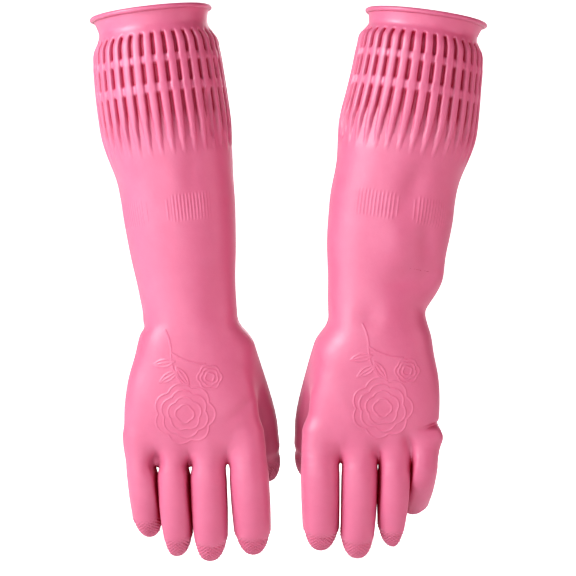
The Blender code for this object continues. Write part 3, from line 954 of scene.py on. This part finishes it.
def digit_cuts(digit, stations):
    """Where each piece of a digit begins: its part, a point, and the way the digit runs there."""
    heel, root = stations[:2]
    down = unit(root - heel)
    base = ("base", root - ROOT_LEAD * down, down)
    if digit == "thumb":
        tip = stations[2]
        return base, ("tip", (root + tip) / 2, unit(tip - root))
    middle, tip = stations[2:4]
    return (
        base,
        ("middle", (root + middle) / 2, unit(middle - root)),
        ("tip", (middle + tip) / 2, unit(tip - middle)),
    )


def cross_joint(obj):
    """Bakes obj's place into its mesh; the piece is not bent across a joint."""
    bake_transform(obj)


def stand_for(node):
    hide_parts(node)


def join_hand(glove, pieces):
    name = glove.name
    wrist = pieces["wrist"]
    cross_joint(wrist)
    stand_for(f"{name}_forearm_sleeve")
    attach(pieces["palm"], f"{name}_hand")
    stand_for(f"{name}_hand_shell")
    for finger in FINGERS:
        stem = f"{name}_{finger}"
        heel, root, middle, tip, end = glove.stations[finger]
        chain = (
            ("base", f"{name}_hand", f"{stem}_root", f"{stem}_knuckle_bend", heel, root, middle),
            ("middle", f"{stem}_root", f"{stem}_middle", f"{stem}_middle_bend", root, middle, tip),
            ("tip", f"{stem}_middle", f"{stem}_tip", f"{stem}_tip_bend", middle, tip, end),
        )
        for part, parent, child, joint, before, at, after in chain:
            obj = pieces[f"{finger}_{part}"]
            cross_joint(obj)
            stand_for(f"{stem}_{'root' if part == 'base' else part}")
    heel, root, tip, end = glove.stations["thumb"]
    base, last = pieces["thumb_base"], pieces["thumb_tip"]
    cross_joint(base)
    cross_joint(last)
    for obj, node in ((base, "thumb_root"), (last, "thumb_tip")):
        stand_for(f"{name}_{node}")


def rib_inset(angle, height):
    """How far the skin lies under the ribs' crests. A rib is a round rod, and a slot lies between two."""
    across = np.abs((angle * RIBS / (2 * np.pi)) % 1 - 0.5) * 2  # 0 on a crest, 1 in a slot
    rise = np.clip((height - RIB_ROWS[0][0]) / RIB_TAPER, 0, 1)
    foot, growth = RIB_WIDTH
    crest = np.clip(across / (foot + growth * rise**0.7), 0, 1)
    rod = RIB_ROUND * crest**2 + (1 - RIB_ROUND) * smoothstep(RIB_WALL, 1.0, crest)
    depth = np.zeros_like(height)
    for low, high in RIB_ROWS:
        row = smoothstep(low - 1, low + 1, height) * smoothstep(high + 1, high - 1, height)
        depth = np.maximum(depth, row)
    top, bottom = RIB_ROWS[-1][1], RIB_ROWS[0][1]
    between = (height > bottom - 3) & (height < top - 3)
    depth = np.where(between, BRIDGE + (1 - BRIDGE) * depth, depth)
    taper = smoothstep(0, 1, rise) ** 0.6
    return GROOVE * taper * depth * rod


def fold_inset(glove, angle, height):
    """How deep the cuff's upright folds press the skin in."""
    inset = np.zeros_like(height)
    half_width, _ = glove.sleeve_size(height)
    for middle, low, high, width, depth in FOLDS[glove.name]:
        turn = math.radians(middle)
        away = (angle - turn + np.pi) % (2 * np.pi) - np.pi
        across = np.exp(-((away * half_width / width) ** 2))
        along = smoothstep(low, low + 9, height) * smoothstep(high, high - 7, height)
        inset = np.maximum(inset, depth * across * along)
    return inset


def line_lift(glove, angle, height):
    """The fine upright lines that run part of the way round the sleeve, and a frame round their panel."""
    middle, reach, panel = LINES[glove.name]
    away = np.degrees((angle - math.radians(middle) + np.pi) % (2 * np.pi) - np.pi)
    low, high = LINE_BAND
    across = np.abs(away)
    lines = (0.5 + 0.5 * np.cos(angle * LINE_COUNT)) ** 1.5
    inside = smoothstep(low - 0.6, low + 0.6, height) * smoothstep(high + 0.6, high - 0.6, height)
    inside *= smoothstep(panel, panel + 1, across) * smoothstep(reach, reach - 8, across)
    border = np.exp(-(((across - panel * 0.8) / 0.8) ** 2))
    border *= smoothstep(low + 1.5, low + 2.5, height) * smoothstep(high - 1.5, high - 2.5, height)
    return LINE_HEIGHT * (lines * inside + border)


def sleeve_points(glove, height, angle, inset):
    """Points on the sleeve, this far under its plain shape."""
    half_width, half_depth = glove.sleeve_size(height)
    x = (half_width - inset) * np.sin(angle) + glove.sway(height)
    y = (inset - half_depth) * np.cos(angle)
    return glove.sleeve.world(np.column_stack((x, y, height + glove.rim_lift(x, height))))


def turned(glove, heights, columns, bunching):
    """The sleeve between two heights, as rows of points round its axis, starting at the back of the hand."""
    around = np.linspace(0, 2 * np.pi, columns, endpoint=False)
    around = around - bunching / RIBS * np.sin(RIBS * around)
    h, a = (grid.ravel() for grid in np.meshgrid(heights, around, indexing="ij"))
    inset = np.maximum(rib_inset(a, h), fold_inset(glove, a, h)) - line_lift(glove, a, h)
    index = np.arange(len(heights) * columns).reshape(len(heights), columns)
    low, high = index[:-1], index[1:]
    after_low, after_high = np.roll(low, -1, axis=1), np.roll(high, -1, axis=1)
    one = np.stack((low, after_low, after_high), axis=-1).reshape(-1, 3)
    two = np.stack((low, after_high, high), axis=-1).reshape(-1, 3)
    triangles = np.concatenate((one, two))
    outward = vertex_normals(sleeve_points(glove, h, a, 0), triangles)
    points = sleeve_points(glove, h, a, inset)
    points += outward * dents(glove, points)[:, None]
    return points, vertex_normals(points, triangles), triangles, h


def spaced(low, high, step):
    return np.linspace(low, high, int(round((high - low) / step)) + 1)


def build_sleeve(glove, material):
    name = glove.name
    fine = 1
    band_low, band_high = LINE_BAND[0] - 2, LINE_BAND[1] + 2
    sleeve_rows = np.concatenate(
        (
            spaced(SLEEVE_CUT, band_low, 1.8 * fine),
            spaced(band_low, band_high, fine)[1:],
            spaced(band_high, CUFF_CUT, 1.8 * fine)[1:],
        )
    )
    pieces = {}
    spans = (
        ("sleeve", sleeve_rows, RIBS * 20, 0.0),
        ("cuff", spaced(CUFF_CUT, CUFF_TOP, fine), RIBS * 14, BUNCHING),
    )
    for label, rows, columns, bunching in spans:
        low, high = rows[0], rows[-1]
        heights = np.concatenate(((low - 2, low - 1), rows, (high + 1, high + 2)))
        points, normals, triangles, h = turned(glove, heights, columns, bunching)
        inner = points - normals * SKIN
        inside = (h[triangles] > low - 1e-6).all(axis=1) & (h[triangles] < high + 1e-6).all(axis=1)
        obj = new_piece(f"{name}_{label}", points, inner, normals, triangles[inside])
        obj.data.materials.append(material)
        pieces[label] = obj
    sleeve = pieces["sleeve"]
    cross_joint(sleeve)
    stand_for(f"{name}_upper_sleeve")
    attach(pieces["cuff"], f"{name}_cuff")
    stand_for(f"{name}_ribbed_cuff")
    bead = rolled_rim(glove, material)
    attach(bead, f"{name}_cuff")
    stand_for(f"{name}_rolled_bead")


def rolled_rim(glove, material):
    """The rolled edge: a ring with a slightly flattened circle for a section."""
    steps, around = ((360, 24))
    angle = np.linspace(0, 2 * np.pi, steps, endpoint=False)
    turn = np.linspace(0, 2 * np.pi, around, endpoint=False)
    a, t = (grid.ravel() for grid in np.meshgrid(angle, turn, indexing="ij"))
    top = np.full(len(a), RIM_HEIGHT)
    half_width, half_depth = glove.sleeve_size(top)
    out = RIM_RADIUS * np.cos(t)
    x = (half_width + out) * np.cos(a) + glove.sway(top)
    z = top + RIM_FLATNESS * RIM_RADIUS * np.sin(t) + glove.rim_lift(x, top)
    local = np.column_stack((x, (half_depth + out) * np.sin(a), z))
    points = glove.sleeve.world(local)
    index = np.arange(steps * around).reshape(steps, around)
    here, after = index, np.roll(index, -1, axis=0)
    up_here, up_after = np.roll(here, -1, axis=1), np.roll(after, -1, axis=1)
    quads = np.stack((here, after, up_after, up_here), axis=-1).reshape(-1, 4)
    mesh = bpy.data.meshes.new("rim")
    mesh.from_pydata((points * MM).tolist(), [], quads.tolist())
    mesh.shade_smooth()
    mesh.materials.append(material)
    return add_object(f"{glove.name}_rim", mesh)


def plain_material(name, color, roughness):
    material = bpy.data.materials.new(name)
    material.use_nodes = True
    shader = material.node_tree.nodes["Principled BSDF"]
    shader.inputs["Base Color"].default_value = (*color, 1)
    shader.inputs["Roughness"].default_value = roughness
    return material


def white_paper():
    """Pale paper that the camera sees as evenly lit, and that shades like plain white otherwise."""
    material = plain_material("white_paper", (0.9, 0.9, 0.9), 0.9)
    nodes, links = material.node_tree.nodes, material.node_tree.links
    shader = nodes["Principled BSDF"]
    shader.inputs["Emission Color"].default_value = (1, 1, 1, 1)
    path = add_node(nodes, "LightPath")
    shine = add_node(nodes, "Math", operation="MULTIPLY_ADD")
    shine.inputs[1].default_value = 0.8  # in the rubber's reflections
    links.new(path.outputs["Is Glossy Ray"], shine.inputs[0])
    links.new(path.outputs["Is Camera Ray"], shine.inputs[2])
    links.new(shine.outputs[0], shader.inputs["Emission Strength"])
    return material


def add_floor(low):
    """A sheet of paper that lies under the gloves and curves up far behind them."""
    width, near, far, bend, tall = 8.0, -3.0, 3.0, 1.5, 5.0
    outline = [(near, 0.0)]
    for i in range(17):
        turn = math.pi / 2 * i / 16
        outline.append((far + bend * math.sin(turn), bend * (1 - math.cos(turn))))
    outline.append((far + bend, tall))
    bm = bmesh.new()
    rows = [[bm.verts.new((x, y, low + z)) for x in (-width, width)] for y, z in outline]
    for a, b in zip(rows, rows[1:]):
        bm.faces.new((a[0], a[1], b[1], b[0]))
    mesh = bpy.data.meshes.new("paper")
    bm.to_mesh(mesh)
    bm.free()
    mesh.shade_smooth()
    mesh.materials.append(white_paper())
    add_object("paper", mesh)


def add_light(name, place, target, size, power, color):
    light = bpy.data.lights.new(name, "AREA")
    light.size = size
    light.energy = power
    light.color = color
    obj = add_object(name, light)
    obj.visible_camera = False
    obj.location = place
    obj.rotation_euler = (Vector(target) - Vector(place)).to_track_quat("-Z", "Y").to_euler()


def add_world():
    """A faint light the colour of what the gloves throw on each other, in a studio that looks white."""
    world = bpy.data.worlds.new("studio")
    bpy.context.scene.world = world
    world.use_nodes = True
    nodes, links = world.node_tree.nodes, world.node_tree.links
    glow = nodes["Background"]
    glow.inputs["Color"].default_value = STUDIO_GLOW
    glow.inputs["Strength"].default_value = GLOW_STRENGTH
    white = add_node(nodes, "Background", Color=(1, 1, 1, 1), Strength=1.0)
    path = add_node(nodes, "LightPath")
    seen = add_node(nodes, "MixShader")
    links.new(path.outputs["Is Camera Ray"], seen.inputs[0])
    links.new(glow.outputs[0], seen.inputs[1])
    links.new(white.outputs[0], seen.inputs[2])
    links.new(seen.outputs[0], nodes["World Output"].inputs["Surface"])


def add_camera(middle):
    data = bpy.data.cameras.new("camera")
    data.sensor_width = SENSOR
    data.lens = SENSOR * (VIEW_DISTANCE - 0.01) / VIEW_WIDTH
    camera = add_object("camera", data)
    camera.location = middle + Vector((0, -VIEW_DISTANCE, 0))
    camera.rotation_euler = (math.radians(90), 0, 0)
    bpy.context.scene.camera = camera


def main():
    material = pink_rubber()
    for name in ("right", "left"):
        glove = Glove(name)
        join_hand(glove, build_hand(glove, material))
        build_sleeve(glove, material)
    lowest = float(cad_bounds[0][2])
    add_floor(lowest - FLOOR_DROP)
    middle = Vector(PICTURE_MIDDLE)
    add_camera(middle)
    add_world()
    for name, place, size, power, color in LIGHTS:
        add_light(name, place, middle, size, power, color)
    bpy.context.scene.view_settings.view_transform = "Standard"
    bpy.context.scene.view_settings.look = "Medium High Contrast"


main()
